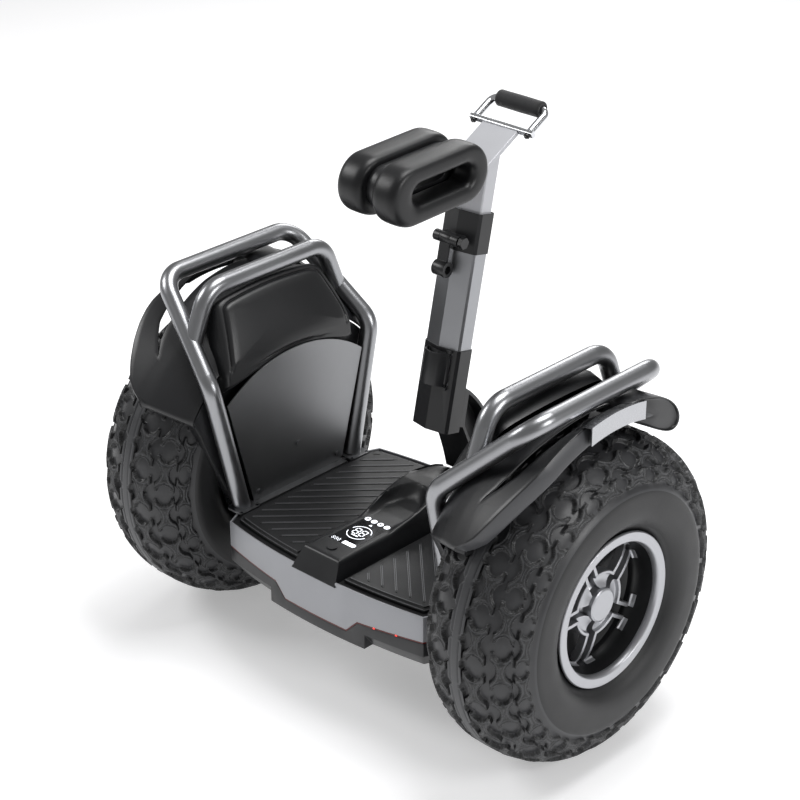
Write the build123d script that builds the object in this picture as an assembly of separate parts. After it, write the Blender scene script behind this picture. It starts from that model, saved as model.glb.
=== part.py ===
"""Off-road two-wheel self-balancing scooter with knee control pads.

Units are millimetres.  +X is the wheel axis (the rider's right), +Y the direction of
travel, +Z up.  The origin is on the ground, under the axle, midway between the wheels.
"""
import os
from math import cos, radians, sin, tan

from build123d import *

# wheels and axle
TYRE_R = 241.3            # 19 inch tyre
TYRE_HALF_W = 89.5        # 7 inch section
BULGE_R = 150.0           # where the sidewall is widest
TRACK_HALF = 327.1        # wheel centre plane
AXLE_Z = TYRE_R
RIM_R = 114.2             # 8 inch rim, over its flange
RIM_HALF_W = 75.7
SPOKES = 5                # twin spokes
SPINDLE_R = 12.0
RUN_GAP = 0.05            # radial running clearance

# platform, symmetric fore and aft about PLAT_Y
PLAT_Y = 5.0
PLAT_HALF_X = 213.0
SIDE_HALF_Y = 116.0
CORNER_X = 194.0
CORNER_HALF_Y = 159.5
BOW_HALF_Y = 178.5
DECK_TOP = 208.0
SKIRT_TOP = 210.7
TUB_BOTTOM = 119.0

FENDER_Z = 248.0          # height of the fenders' arc centre

# roll-over tubes
TUBE_R = 13.5
TUBE_WALL = 2.0
OUTER_RAIL_X = 353.0
INNER_RAIL_X = 272.0
RAIL_Z = 547.0

PANEL_SCREWS = [(5.0, 275.0), (-78.0, 224.0), (88.0, 224.0)]

# stem, leaning forward
LEAN = radians(12.1)
COLLAR = [(0, -17.0), (31.0, -9.5), (34.5, -5.0), (34.5, 19.5), (30.0, 24.0)]
STEM_BOTTOM = 358.0
MID_TOP = 686.0
ARM_TILT = radians(28.5)
PIVOT_Z = 230.0

# knee pads
PAD_LENGTH = 197.0
PAD_HEIGHT = 86.0
PAD_Y = 31.5
PAD_Z = 753.5
PAD_TILT = 1.5            # degrees, front edge up


# ---------------------------------------------------------------- helpers
def save(shape, name):
    """Write one node; a list becomes a group of separate solids."""
    if isinstance(shape, (list, tuple)):
        shape = Compound(children=[solid for item in shape for solid in item.solids()])
    elif len(shape.solids()) == 1:
        shape = shape.solids()[0]
    else:
        shape = Compound(children=list(shape.solids()))
    shape.label = name
    export_step(shape, f"parts/{name}.step")


def flipped(shape):
    """The same piece on the other side of the machine."""
    return shape.mirror(Plane.YZ)


def fore_aft(shape):
    """The same piece at the other end of the platform."""
    return shape.mirror(Plane.XZ.offset(-PLAT_Y))


def plate_x(face, x0, x1):
    """A face drawn in (y, z), made solid between two x planes."""
    return extrude(Plane.YZ.offset(x0) * face, amount=x1 - x0)


def plate_y(face, y0, y1):
    """A face drawn in (x, z), made solid between two y planes."""
    return extrude(Plane.XZ.offset(-y1) * face, amount=y1 - y0)


def plate_z(face, z0, z1):
    """A face drawn in (x, y), made solid between two z planes."""
    return extrude(Plane.XY.offset(z0) * face, amount=z1 - z0)


def outline(*points):
    return make_face(Polyline(*points, close=True))


def block(x0, x1, y0, y1, z0, z1):
    return Pos((x0 + x1) / 2, (y0 + y1) / 2, (z0 + z1) / 2) * Box(x1 - x0, y1 - y0, z1 - z0)


def rod_x(r, x0, x1, y, z):
    return extrude(Plane.YZ.offset(x0) * Pos(y, z) * Circle(r), amount=x1 - x0)


def rod_y(r, y0, y1, x, z):
    return extrude(Plane.XZ.offset(-y1) * Pos(x, z) * Circle(r), amount=y1 - y0)


def rod_z(r, z0, z1, x, y):
    return extrude(Plane.XY.offset(z0) * Pos(x, y) * Circle(r), amount=z1 - z0)


def bent_path(points, radius):
    """Straight runs joined by tangent arcs of one radius."""
    pts = [Vector(*p) for p in points]
    edges = []
    start = pts[0]
    for before, corner, after in zip(pts, pts[1:], pts[2:]):
        a = (before - corner).normalized()
        b = (after - corner).normalized()
        half = radians(a.get_angle(b)) / 2
        run = radius / tan(half)
        p, q = corner + a * run, corner + b * run
        mid = corner + (a + b).normalized() * (radius / sin(half) - radius)
        edges += [Edge.make_line(start, p), Edge.make_three_point_arc(p, mid, q)]
        start = q
    edges.append(Edge.make_line(start, pts[-1]))
    return Wire(edges)


def swept(points, radius, outer, inner=0.0):
    """Round bar, or pipe if it has an inner radius, along a bent path."""
    path = bent_path(points, radius)
    plane = Plane(origin=path @ 0, z_dir=path % 0)
    ring = Circle(outer) - Circle(inner) if inner else Circle(outer)
    return sweep(plane * ring, path=path)


def turned(points, x_centre, y, z, arc=360.0, start=0.0):
    """Revolve a profile of (x, radius) about an axis along X."""
    face = Plane.XZ * outline(*points)
    solid = revolve(face, axis=Axis.X, revolution_arc=arc)
    return Pos(x_centre, y, z) * Rot(start, 0, 0) * solid


def both_sides(points):
    """Close a half outline by mirroring it about x = 0."""
    mirrored = [(-x, y) for x, y in reversed(points) if x > 0]
    return outline(*(list(points) + mirrored))


# ---------------------------------------------------------------- platform
def plan(inset=0.0):
    """Platform outline seen from above, with bowed ends and clipped corners."""
    side = SIDE_HALF_Y
    cx, cy, bow = CORNER_X, CORNER_HALF_Y, BOW_HALF_Y
    x = PLAT_HALF_X
    edges = [
        ThreePointArc((-cx, -cy), (0, -bow), (cx, -cy)),
        Line((cx, -cy), (x, -side)),
        Line((x, -side), (x, side)),
        Line((x, side), (cx, cy)),
        ThreePointArc((cx, cy), (0, bow), (-cx, cy)),
        Line((-cx, cy), (-x, side)),
        Line((-x, side), (-x, -side)),
        Line((-x, -side), (-cx, -cy)),
    ]
    face = make_face(Curve() + edges)
    if inset:
        face = offset(face, amount=-inset, kind=Kind.INTERSECTION)
    return Pos(0, PLAT_Y) * face


def above_seam(drop=0.0):
    """Region over the stepped seam between the silver skirt and the lower bumper."""
    z_mid, z_step, z_end = 141.8 - drop, 162.5 - drop, 172.7 - drop
    return outline((-230, 230), (-230, z_end), (-81.8, z_step), (-61.6, z_mid),
                   (61.6, z_mid), (81.8, z_step), (230, z_end), (230, 230))


def end_region(y_limit):
    """Everything at the rear of the platform, behind y_limit."""
    return block(-230, 230, -200, y_limit, 100, 240)


def skirt_band():
    """Silver skirt round one end of the platform, stepped along its lower edge."""
    band = plate_z(plan() - plan(2.6), 120, SKIRT_TOP)
    band = band & plate_y(above_seam(), -190, PLAT_Y)
    return band & end_region(PLAT_Y - SIDE_HALF_Y + 3)


def rear_skirt():
    """The rear skirt is notched where the console wraps over it."""
    return skirt_band() - block(-41.4, 41.4, -190, -150, 203.6, 230)


def light_strip():
    band = plate_z(plan(0.8) - plan(3.4), 120, 190)
    region = plate_y(above_seam(2.4), -190, PLAT_Y) - plate_y(above_seam(), -191, PLAT_Y + 1)
    return band & region & end_region(PLAT_Y - SIDE_HALF_Y + 3)


def bumper():
    """Lower shell end: straight sided in the middle, bevelled under both corners."""
    upright = plate_z(plan(0.5), 146, 178)
    bevel = extrude(Plane.XY.offset(146) * plan(0.5), amount=-26, taper=37)
    middle = plate_z(plan(0.5), 122, 147) & block(-95, 95, -200, 200, 120, 150)
    shell = upright + bevel + middle
    shell = shell - plate_z(plan(26.0), 110, 200)
    shell = shell - plate_y(above_seam(2.5), -191, PLAT_Y + 200)
    return shell & end_region(PLAT_Y - 84)


def tub():
    """Open cast tray that carries everything; its floor is the underside."""
    body = plate_z(plan(26.3), TUB_BOTTOM, 199.6)
    return body - plate_z(plan(31.0), 124.0, 201)


def deck_plate():
    """Flat deck over the tray."""
    return plate_z(plan(3.0), 200.0, DECK_TOP)


def mat():
    """Right foot mat: a lower border step and a raised pad with diagonal ribs."""
    region = block(47, 190.5, -170, 180, 200, 230)
    low = plate_z(plan(13.0), 209.6, 213.0) & region
    region = block(52, 185.5, -170, 180, 200, 230)
    high = plate_z(plan(18.0), 212.9, 216.0) & region
    ribs = []
    for k in range(-9, 10):
        centre = PLAT_Y + k * 27.0
        bar = Pos(120, centre, 216.0) * Rot(0, 0, -45) * Box(200, 3.0, 1.6)
        ribs.append(bar)
    field = plate_z(plan(27.0), 215.5, 216.8) & block(60, 180, -170, 180, 200, 230)
    pattern = (Part() + ribs) & field
    return low + high + pattern


# ---------------------------------------------------------------- console
def console_profile(shift=0.0):
    """Side view of the console: flat display top, scoop, then a hump before the neck."""
    low = 203.9 + shift
    edges = [
        Polyline((134.5 - shift, low), (-174.6 + shift, low), (-155.0 + shift, 236.5 - shift),
                 (-30.0, 236.5 - shift)),
        ThreePointArc((-30.0, 236.5 - shift), (35.0, 243.5 - shift), (92.0, 262.0 - shift)),
        ThreePointArc((92.0, 262.0 - shift), (113.0, 265.0 - shift),
                      (134.5 - shift, 254.0 - shift)),
        Line((134.5 - shift, 254.0 - shift), (134.5 - shift, low)),
    ]
    return make_face(Curve() + edges)


def console():
    """Hollow housing along the middle of the deck, wrapped over its rear edge."""
    section = both_sides([(0, 200), (40.5, 200), (38.4, 212), (30.5, 270), (0, 270)])
    body = plate_x(console_profile(), -45, 45) & plate_y(section, -190, 150)
    body = body - Pos(0, 28, 291) * Sphere(58)
    body = body - block(-60, 60, -170.6, 150, 190, DECK_TOP + 0.3)
    core = both_sides([(0, 190), (37.2, 190), (35.2, 212), (27.3, 270), (0, 270)])
    hollow = plate_x(console_profile(3.2), -45, 45) & plate_y(core, -168, 131)
    hollow = hollow - Pos(0, 28, 291) * Sphere(61.5)
    body = body - hollow - block(-34, 34, -164, 128, 190, 212)
    body = body - block(-25.0, 25.0, -119.0, -31.0, 235.0, 240)
    body = body - block(-20.0, 20.0, -110.0, -40.0, 228, 240)
    return body - rod_z(8.6, 228, 240, 0, -135)


def display_lens():
    return block(-24.8, 24.8, -118.8, -31.2, 235.1, 236.6)


# ---------------------------------------------------------------- side structure
def side_panel():
    """Brushed side sheet: straight edges along the tube legs and an arched top."""
    face = make_face(Curve() + [
        Polyline((-88.0, 211.2), (98.0, 211.2), (144.5, 386.0)),
        ThreePointArc((144.5, 386.0), (5.0, 434.5), (-134.5, 386.0)),
        Line((-134.5, 386.0), (-88.0, 211.2)),
    ])
    sheet = plate_x(face, 211.2, 213.4)
    foot = block(199.0, 213.4, -88.0, 98.0, DECK_TOP + 0.2, 211.3)
    sheet = sheet + foot
    for y, z in PANEL_SCREWS:
        sheet = sheet - rod_x(2.6, 205, 220, y, z)
    return sheet


def outer_path():
    """Corners of the outer pipe, from the rear foot over the fender to the front foot."""
    rear_foot, rear_knee = (213.0, -112.0, 213.0), (217.5, -160.0, 421.0)
    rear_top, front_top = (OUTER_RAIL_X, -124.0, RAIL_Z), (OUTER_RAIL_X, 134.0, RAIL_Z)
    front_knee, front_foot = (217.5, 170.0, 421.0), (213.0, 122.0, 213.0)
    return [rear_foot, rear_knee, rear_top, front_top, front_knee, front_foot]


def outer_tube():
    """Bent pipe welded to a flange at each foot."""
    foot = tube_foot()
    body = swept(outer_path(), 38.0, TUBE_R, TUBE_R - TUBE_WALL) + foot + fore_aft(foot)
    return body - block(180, 240, -150, 160, 200, 211)


def inner_rail():
    """Second pipe, mitred onto the sloping part of the outer tube at both ends."""
    path = [(INNER_RAIL_X, -143.0, 470.0), (INNER_RAIL_X, -112.0, RAIL_Z),
            (INNER_RAIL_X, 122.0, RAIL_Z), (INNER_RAIL_X, 153.0, 470.0)]
    pipe = swept(path, 42.0, TUBE_R, TUBE_R - TUBE_WALL) - swept(outer_path(), 38.0, TUBE_R + 0.08)
    return max(pipe.solids(), key=lambda solid: solid.volume)


def tube_foot():
    """Flange that stands the tube's end on the deck corner."""
    pad = Pos(0, -112.0, 211.0) * extrude(RectangleRounded(34, 40, 6), amount=3.0)
    pad = Pos(209.0, 0, 0) * pad
    return pad - rod_z(2.6, 208, 216, 196.5, -128) - rod_z(2.6, 208, 216, 196.5, -96)


def drive_bracket():
    """Plate between side panel and wheel: bolts under the deck, holds the spindle."""
    web = make_face(Curve() + [
        Polyline((-70.0, 130.0), (80.0, 130.0), (80.0, 205.0), (50.0, 262.0)),
        ThreePointArc((50.0, 262.0), (0.0, 296.0), (-50.0, 262.0)),
        Polyline((-50.0, 262.0), (-70.0, 205.0), (-70.0, 130.0)),
    ])
    plate = plate_x(web, 216.0, 228.0)
    shelf = block(187.6, 216.5, -70.0, 80.0, 130.0, 196.0)
    shelf = shelf - block(196.0, 208.0, -62.0, 72.0, 138.0, 200.0)
    return plate + shelf - rod_x(20.0, 210, 232, 0, AXLE_Z)


def spindle():
    """Fixed stepped stub axle with a nut shoulder inside the panel."""
    steps = [(214.2, 0), (214.2, 26), (216.0, 26), (216.0, 19.96), (228.2, 19.96), (228.2, 26),
             (236.0, 26), (236.0, 18), (300.0, 18), (300.0, SPINDLE_R), (368.0, SPINDLE_R),
             (368.0, 0)]
    return turned(steps, 0, 0, AXLE_Z)


def hub_motor():
    """Stator drum fixed on the spindle inside the rim."""
    steps = [(262.0, 18.05), (262.0, 62.0), (268.0, 70.0), (332.0, 70.0), (338.0, 62.0),
             (338.0, 40.0), (299.0, 40.0), (299.0, 18.05)]
    return turned(steps, 0, 0, AXLE_Z)


# ---------------------------------------------------------------- wheels
def crown_radius(x):
    """Outer radius of the tyre's rounded section at distance x from its centre plane."""
    return BULGE_R + (TYRE_R - BULGE_R) * (1 - (x / TYRE_HALF_W) ** 2.5) ** 0.4


def tyre():
    """Closed carcass: bead, bulging sidewall and a rounded crown."""
    crown = [(x, crown_radius(x)) for x in (89.0, 87.2, 83.5, 78.0, 70.0, 60.0, 48.0, 34.0, 18.0)]
    half = [(61.6, 104.1), (66.0, 116.0), (77.5, 123.5), (86.0, 135.0), (TYRE_HALF_W, BULGE_R)]
    half = half + crown + [(0, TYRE_R)]
    inner = [(0, 224.0), (50.0, 219.0), (66.0, 206.0), (77.0, 180.0), (75.0, 146.0),
             (60.0, 124.0), (48.0, 116.0), (46.0, 104.1)]
    ring = half + [(-x, r) for x, r in reversed(half[:-1])]
    core = [(-x, r) for x, r in reversed(inner)] + inner[1:]
    return turned(ring + core, TRACK_HALF, 0, AXLE_Z)


def rim():
    """Rim barrel with a flat outer lip, a deep dish, twin spokes and a slotted hub."""
    w = RIM_HALF_W
    barrel = [(-w, RIM_R), (-w, 108.0), (-60.0, 97.0), (-30.0, 90.0), (38.0, 90.0), (60.0, 95.0),
              (w - 6.0, 97.6), (w, 98.4), (w, RIM_R), (w - 4.0, RIM_R), (61.7, 103.8),
              (45.8, 103.8), (36.0, 94.0), (-36.0, 94.0), (-45.8, 103.8), (-61.7, 103.8),
              (-w + 4.0, RIM_R)]
    body = turned(barrel, TRACK_HALF, 0, AXLE_Z)
    hub = [(16.0, SPINDLE_R + RUN_GAP), (16.0, 34.0), (36.0, 34.0), (36.0, 44.0), (48.0, 44.0),
           (48.0, 20.0), (42.0, 20.0), (42.0, SPINDLE_R + RUN_GAP)]
    body = body + turned(hub, TRACK_HALF, 0, AXLE_Z)
    legs = [outline((w, 38), (w, 92), (w + 5.0, 92), (w + 5.0, 38)) for w in (6.5, -11.5)]
    slot = outline((-6.5, 28), (-6.5, 50), (6.5, 50), (6.5, 28))
    for k in range(SPOKES):
        place = Pos(TRACK_HALF, 0, AXLE_Z) * Rot(k * 360.0 / SPOKES - 52.0, 0, 0)
        body = body - place * plate_x(slot, 35.0, 50.0)
        for leg in legs:
            body = body + place * plate_x(leg, 38.0, 48.0)
    return body


def hub_cap():
    steps = [(44.3, 0), (44.3, 19.6), (48.2, 19.6), (48.2, 24.5), (55.0, 24.5), (56.5, 22.0),
             (56.5, 0)]
    return turned(steps, TRACK_HALF, 0, AXLE_Z)


def valve_stem():
    """Short rubber stem through the dish, clear of the spokes."""
    body = rod_x(3.4, 30.0, 58.0, 0, 84.0) + rod_x(5.0, 26.0, 34.0, 0, 84.0)
    return Pos(TRACK_HALF, 0, AXLE_Z) * Rot(36.0, 0, 0) * body


# ---------------------------------------------------------------- fenders
def fender():
    """Mudguard skin with a turned-down outer lip, an inner wall and a long curved slot."""
    y0, z0 = PLAT_Y, FENDER_Z
    skin = [(232.4, 196.0), (232.4, 225.0), (256.0, 243.5), (290.0, 261.5), (341.0, 275.5),
            (384.0, 285.5), (386.5, 284.0), (386.5, 264.5), (384.0, 264.5), (384.0, 282.8),
            (341.0, 272.9), (291.0, 258.9), (257.5, 241.2), (235.0, 223.8), (235.0, 196.0)]
    shell = turned(skin, 0, y0, z0)
    side = outline((-226, 384), (-150, 376), (-120, 390), (130, 390), (160, 384), (150, 470),
                   (158, 500), (150, 560), (-300, 560), (-300, 420))
    shell = shell & plate_x(side, 220, 400)
    rear_cut = outline((400, -320), (400, -135), (382, -140), (366, -178), (345, -211),
                       (318, -232), (300, -320))
    slot = outline((312, -175), (330, -157), (344, -138), (351, -116), (358, -85), (364, -52),
                   (367, -10), (368, 30), (365, 75), (356, 112), (352, 75), (350, 30),
                   (347, -10), (344, -50), (338, -92), (331, -125), (323, -154))
    shell = shell - plate_z(rear_cut, 300, 600) - plate_z(slot, 400, 600)
    wall = make_face(Curve() + [
        Polyline((-112.0, 212.0), (122.0, 212.0), (171.0, 395.0)),
        ThreePointArc((171.0, 395.0), (5.0, 477.5), (-161.0, 395.0)),
        Line((-161.0, 395.0), (-112.0, 212.0)),
    ])
    inner = plate_x(wall, 232.4, 235.0) & turned([(230, 0), (230, 228.0), (240, 228.0),
                                                  (240, 0)], 0, y0, z0)
    body = shell + inner - rod_x(40.0, 228, 240, 0, AXLE_Z)
    return max(body.solids(), key=lambda solid: solid.volume)


def fender_trim():
    """Bright plate wrapped over the lip near the top of the wheel."""
    y0, z0 = PLAT_Y, FENDER_Z
    band = [(372.0, 283.3), (388.9, 287.3), (388.9, 262.0), (386.8, 262.0), (386.8, 285.2),
            (372.0, 281.9)]
    lift = [(x, r + 1.1) for x, r in band[:1]] + [(388.9, 288.4)] + band[2:4]
    lift += [(386.8, 286.6), (372.0, 283.2)]
    ring = turned(lift, 0, y0, z0)
    return ring & block(370, 392, -47, 66, 400, 600)


def side_box():
    """Moulded cover between the side panel's arch and the inner rail."""
    face = make_face(Curve() + [
        ThreePointArc((-122.0, 392.5), (5.0, 437.5), (132.0, 392.5)),
        Line((132.0, 392.5), (112.0, 485.0)),
        ThreePointArc((112.0, 485.0), (5.0, 505.0), (-102.0, 485.0)),
        Line((-102.0, 485.0), (-122.0, 392.5)),
    ])
    section = outline((215.0, 385.0), (220.5, 440.0), (244.0, 494.0), (255.0, 506.0),
                      (262.0, 506.0), (262.0, 385.0))
    body = plate_x(face, 210, 262) & plate_y(section, -140, 150)
    guard = turned([(210, 0), (210, 229.6), (232.0, 229.6), (256.0, 247.8), (290.0, 265.2),
                    (290, 0)], 0, PLAT_Y, FENDER_Z)
    body = body - guard - block(213.0, 231.9, -160, 170, 380, 436.5)
    return max(body.solids(), key=lambda solid: solid.volume)


# ---------------------------------------------------------------- neck and stem
def neck():
    """Curved I-section neck: rear flange, front flange and web, on a pivot boss."""
    shape = make_face(Curve() + [
        Line((139.5, 251.5), (179.0, 251.5)),
        ThreePointArc((179.0, 251.5), (169.5, 330.0), (121.0, 403.0)),
        Line((121.0, 403.0), (109.0, 412.5)),
        Line((109.0, 412.5), (96.0, 352.5)),
        Line((96.0, 352.5), (105.5, 348.0)),
        ThreePointArc((105.5, 348.0), (122.5, 308.5), (139.5, 251.5)),
    ])
    body = plate_x(shape, -31.0, 31.0)
    pocket = make_face(Curve() + [
        Line((145.0, 266.0), (173.5, 266.0)),
        ThreePointArc((173.5, 266.0), (164.0, 330.0), (119.5, 397.0)),
        Line((119.5, 397.0), (110.5, 351.0)),
        ThreePointArc((110.5, 351.0), (128.0, 310.0), (145.0, 266.0)),
    ])
    body = body - plate_x(pocket, 6.0, 40.0) - plate_x(pocket, -40.0, -6.0)
    foot = both_sides([(0, PIVOT_Z - 2), (15.0, PIVOT_Z), (24.0, 252.0), (0, 252.0)])
    foot = plate_y(foot, 148.0, 170.0) + rod_y(15.0, 148.0, 170.0, 0, PIVOT_Z)
    body = body + foot
    return body - stem_solid(COLLAR, 340, 470, grow=0.15) - rod_y(8.05, 140, 190, 0, PIVOT_Z)


def pivot_block():
    """Base plate with two ears that carry the lean pivot pin."""
    base = block(-34, 34, 136.6, 176.0, DECK_TOP + 0.05, 213.5)
    ear = both_sides([(0, 213), (22.0, 213), (15.0, 238.0), (9.0, 245.0), (0, 245.0)])
    block_body = base + plate_y(ear, 137.4, 146.6) + plate_y(ear, 171.4, 179.4)
    block_body = block_body - rod_y(8.0, 130, 190, 0, PIVOT_Z)
    for x in (-28, 28):
        block_body = block_body - rod_z(2.7, 200, 220, x, 143) - rod_z(2.7, 200, 220, x, 170)
    return block_body


def pivot_pin():
    return (rod_y(7.98, 136.8, 180.2, 0, PIVOT_Z) + rod_y(11.0, 180.2, 183.0, 0, PIVOT_Z))


def stem_plane(s):
    """Plane across the stem at distance s along it; local axes are (x, depth)."""
    origin = (0, s * sin(LEAN), s * cos(LEAN))
    return Plane(origin=origin, x_dir=(1, 0, 0), z_dir=(0, sin(LEAN), cos(LEAN)))


def stem_section(points, grow=0.0):
    face = both_sides(points)
    if grow:
        face = offset(face, amount=grow, kind=Kind.INTERSECTION)
    return face


def stem_solid(points, s0, s1, grow=0.0):
    return extrude(stem_plane(s0) * stem_section(points, grow), amount=s1 - s0)


def stem_point(depth, s):
    """(y, z) of a point given along and across the stem."""
    return s * sin(LEAN) + depth * cos(LEAN), s * cos(LEAN) - depth * sin(LEAN)


def stem_rod_x(r, x0, x1, depth, s):
    y, z = stem_point(depth, s)
    return rod_x(r, x0, x1, y, z)


def stem_block(x0, x1, e0, e1, s0, s1):
    face = outline((x0, e0), (x1, e0), (x1, e1), (x0, e1))
    return extrude(stem_plane(s0) * face, amount=s1 - s0)


def lower_collar():
    body = stem_solid(COLLAR, STEM_BOTTOM, 484.0)
    body = body - stem_solid(COLLAR, STEM_BOTTOM + 6, 490, grow=-1.6)
    seat = stem_block(-24.5, 24.5, -40, -9.0, 428.0, 479.0)
    lugs = stem_block(17.4, 24.5, -17.4, -11.0, 423.5, 427.9)
    lugs = lugs + stem_block(17.4, 24.5, -17.4, -11.0, 479.1, 483.5)
    body = body - seat + lugs - stem_solid(COLLAR, STEM_BOTTOM + 6, 490, grow=-1.6)
    return body - latch_axis_rod(1.52, 426.0, 481.0)


def latch_axis_rod(r, s0, s1):
    return extrude(stem_plane(s0) * Pos(21.0, -14.1) * Circle(r), amount=s1 - s0)


def middle_column():
    outer = stem_solid(COLLAR, STEM_BOTTOM + 6.2, MID_TOP, grow=-1.7)
    bore = stem_solid(COLLAR, STEM_BOTTOM + 5, MID_TOP + 1, grow=-4.4)
    return outer - bore


def upper_collar():
    ring = stem_solid(COLLAR, 628.0, MID_TOP + 1.5) - stem_solid(COLLAR, 620, 700, grow=-1.55)
    lug = stem_block(-20.0, 16.0, -27.0, -12.0, 638.0, 652.0)
    ring = ring + lug - stem_solid(COLLAR, 620, 700, grow=-1.55)
    return ring - stem_rod_x(8.4, -28, 19, -27.0, 645.0)


def clamp_barrel():
    """Cross bolt through the collar's lug: barrel sleeve and hexagon head."""
    y, z = stem_point(-27.0, 645.0)
    barrel = rod_x(8.3, -26.5, -15.2, y, z) + rod_x(8.3, 5.2, 18.5, y, z)
    head = extrude(Plane.YZ.offset(21.0) * Pos(y, z) * RegularPolygon(9.0, 6), amount=7.0)
    return barrel + rod_x(4.0, -28.0, 21.5, y, z) + head


def clamp_lever():
    """Lever that swings on the clamp bolt, ending in a rolled finger loop."""
    y, z = stem_point(-27.0, 645.0)
    eye = rod_x(8.2, -15.0, 5.0, y, z)
    strap = stem_block(-14.0, 4.0, -32.5, -28.5, 606.0, 645.0)
    roll = stem_rod_x(11.5, -14.0, 8.0, -31.0, 601.0)
    body = eye + strap + roll - stem_rod_x(6.0, -20, 12, -31.0, 601.0)
    return body - rod_x(4.05, -20, 10, y, z)


def latch():
    """Half-round quick-release cover on a hinge line down its right side."""
    drum = extrude(stem_plane(429.0) * Pos(0, -10.0) * Circle(22.4), amount=49.0)
    drum = drum - extrude(stem_plane(428.0) * Pos(0, -10.0) * Circle(19.6), amount=51.0)
    drum = drum & stem_block(-26, 22.4, -40, -11.7, 428, 480)
    cap = extrude(stem_plane(429.0) * Pos(0, -10.0) * Circle(21.0), amount=3.0)
    cap = cap & stem_block(-26, 26, -40, -15.8, 428, 440)
    knuckle = latch_axis_rod(3.2, 433.0, 474.0)
    body = drum + cap + knuckle
    return body - latch_axis_rod(1.57, 427.0, 481.0)


def latch_pin():
    return latch_axis_rod(1.5, 426.2, 480.8)


def arm_point(along, up=0.0):
    """Point on the sloping arm: distance from its lower end, and height over its skin."""
    y = 147.0 + along * cos(ARM_TILT) - up * sin(ARM_TILT)
    z = 742.4 + along * sin(ARM_TILT) + up * cos(ARM_TILT)
    return y, z


def arm_face(along0, along1, up0, up1):
    return outline(arm_point(along0, up0), arm_point(along1, up0), arm_point(along1, up1),
                   arm_point(along0, up1))


def upper_column():
    outer = stem_solid(COLLAR, 470.0, 800.0, grow=-4.6)
    outer = outer - stem_solid(COLLAR, 469.0, 801.0, grow=-7.0)
    keep = outline((40, 430), (300, 430), arm_point(110, -7.05), arm_point(-60, -7.05))
    return outer & plate_x(keep, -60, 60)


def upper_arm():
    return plate_x(arm_face(-1.0, 73.8, -7.0, 0.0), -32.6, 32.6)


def handle_bar():
    """Cross bar at the arm's end, bored for the two screws of the D handle."""
    bar = plate_x(arm_face(74.0, 81.0, -7.5, 2.5), -58.0, 58.0)
    bar = fillet(bar.edges().filter_by(Axis.X), 1.5)
    for x in (-50, 50):
        bar = bar - arm_rod(2.7, 70, 90, x)
    return bar


def arm_rod(r, along0, along1, x, up=-2.5):
    y, z = arm_point(along0, up)
    direction = (0, cos(ARM_TILT), sin(ARM_TILT))
    plane = Plane(origin=(x, y, z), x_dir=(1, 0, 0), z_dir=direction)
    return extrude(plane * Circle(r), amount=along1 - along0)


def handle_tube():
    ends = []
    for x, along in ((-50, 81.1), (-50, 123.5), (50, 123.5), (50, 81.1)):
        y, z = arm_point(along, -2.5)
        ends.append((x, y, z))
    return swept(ends, 13.0, 5.9, 2.8)


def grip():
    y, z = arm_point(123.5, -2.5)
    return turned([(-36.5, 5.95), (-39.5, 7.0), (-39.5, 10.0), (-37.0, 12.2), (37.0, 12.2),
                   (39.5, 10.0), (39.5, 7.0), (36.5, 5.95)], 0, y, z)


def handle_screws():
    return [arm_rod(2.6, 69.0, 92.0, x) + arm_rod(4.6, 71.2, 73.9, x) for x in (-50, 50)]


def pad_place(shape):
    return Pos(0, PAD_Y, PAD_Z) * Rot(PAD_TILT, 0, 0) * shape


def knee_pad():
    """Padded oblong ring for the rider's knee, hollow through its middle."""
    ring = extrude(Plane.YZ.offset(9.0) * (SlotOverall(PAD_LENGTH, PAD_HEIGHT) - SlotOverall(114, 30)), amount=47.0)
    outer = [edge for edge in ring.edges() if edge.bounding_box().size.Z > 60]
    return pad_place(fillet(outer, 13.0))


def pad_frame():
    """Plate between the pads, carried by a bracket on the rear of the column."""
    ring = extrude(Plane.YZ.offset(-8.8) * (SlotOverall(166, 60) - SlotOverall(118, 34)), amount=17.6)
    ring = pad_place(ring)
    boom = outline((100.0, 738.0), (138.0, 706.0), (152.0, 706.0), (152.0, 734.0),
                   (140.0, 737.0), (108.0, 770.0))
    boom = plate_x(boom, -8.8, 8.8) - stem_solid(COLLAR, 600, 800, grow=-4.45)
    body = ring + boom
    return max(body.solids(), key=lambda solid: solid.volume)


# ---------------------------------------------------------------- small parts
def charge_socket():
    """Round charging inlet in the middle of the front skirt."""
    y = PLAT_Y + BOW_HALF_Y
    return rod_y(15.0, y - 24.0, y - 3.2, 0, 176) - rod_y(9.0, y - 18.0, y, 0, 176)


def charge_flap():
    """Rubber-edged door over the inlet, hinged along its top."""
    y = PLAT_Y + BOW_HALF_Y + 0.5
    door = plate_y(Pos(0, 175) * RectangleRounded(36, 32, 5), y + 0.4, y + 3.0)
    knuckle = rod_x(2.4, -13.0, 13.0, y + 2.6, 194.6)
    link = block(-13, 13, y + 0.9, y + 3.2, 190, 194.8)
    return door + knuckle + link - rod_x(1.05, -14, 14, y + 2.6, 194.6)


def flap_hinge():
    y = PLAT_Y + BOW_HALF_Y + 0.5
    ears = [block(x, x + 3.0, y - 0.4, y + 5.0, 192.4, 197.6) for x in (-16.4, 13.4)]
    return rod_x(1.0, -15.0, 15.0, y + 2.6, 194.6) + ears


def power_button():
    return rod_z(8.0, 231.0, 238.2, 0, -135) + rod_z(9.6, 229.0, 231.5, 0, -135)


def battery():
    body = Pos(0, PLAT_Y - 12, 160) * Box(330, 170, 62)
    return fillet(body.edges().filter_by(Axis.Z), 10)


def controller():
    base = Pos(0, PLAT_Y + 112, 150) * Box(190, 44, 40)
    for k in range(7):
        base = base - Pos(-78 + 26 * k, PLAT_Y + 112, 168) * Box(12, 50, 10)
    return base


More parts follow.
